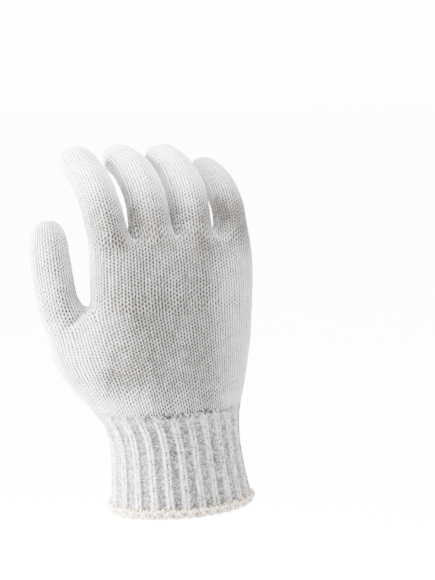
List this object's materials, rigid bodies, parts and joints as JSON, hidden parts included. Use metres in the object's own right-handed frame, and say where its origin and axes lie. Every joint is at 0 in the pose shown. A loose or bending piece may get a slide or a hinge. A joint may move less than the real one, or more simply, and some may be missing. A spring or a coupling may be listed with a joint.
{
  "type": "cotton work glove",
  "caption": "White cotton string-knit work glove for a right hand, in the shape of a relaxed hand, with a ribbed elastic cuff and a cream overlocked edge.",
  "frame": {"origin": "centre of the wrist opening, on the lower plane of the cuff's edge", "axes": "+Z from the wrist opening up toward the fingers, +Y out of the palm, +X toward the little finger's side, with the thumb toward -X"},
  "size_m": [0.1288, 0.0995, 0.2083],
  "materials": {
    "white_knit": "plain-knitted bleached cotton yarn, matt and slightly fuzzy",
    "white_rib": "ribbed bleached cotton with elastic, matt",
    "cream_overlock": "thick unbleached overlock thread, matt"
  },
  "bodies": {
    "root": {"hand_body": "white_knit", "thumb": "white_knit", "index_finger": "white_knit", "middle_finger": "white_knit", "ring_finger": "white_knit", "little_finger": "white_knit", "rib_cuff": "white_rib", "cuff_edge": "cream_overlock"}
  },
  "joints": []
}
